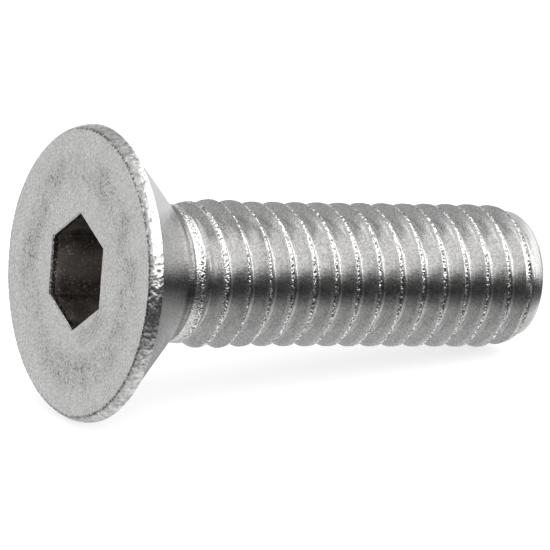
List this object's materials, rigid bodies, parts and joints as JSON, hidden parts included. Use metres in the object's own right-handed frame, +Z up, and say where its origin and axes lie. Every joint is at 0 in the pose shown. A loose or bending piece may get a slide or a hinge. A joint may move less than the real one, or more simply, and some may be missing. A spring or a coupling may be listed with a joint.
{
  "type": "countersunk socket screw",
  "caption": "Countersunk hexagon socket screw in plain stainless steel, threaded up to its head, lying on its side.",
  "frame": {"origin": "centre of the flat of the head, on the screw's axis", "axes": "+Z up, with the screw lying on the edge of its head and on its last crest; the screw's axis runs from the origin towards +X, 8.8 degrees below it, and +Y is to the left of it"},
  "size_m": [0.021, 0.0116, 0.0116],
  "materials": {
    "stainless": "satin stainless steel, finely mottled on the head and burnished on the rolled thread"
  },
  "bodies": {
    "root": {"screw": "stainless"}
  },
  "joints": []
}
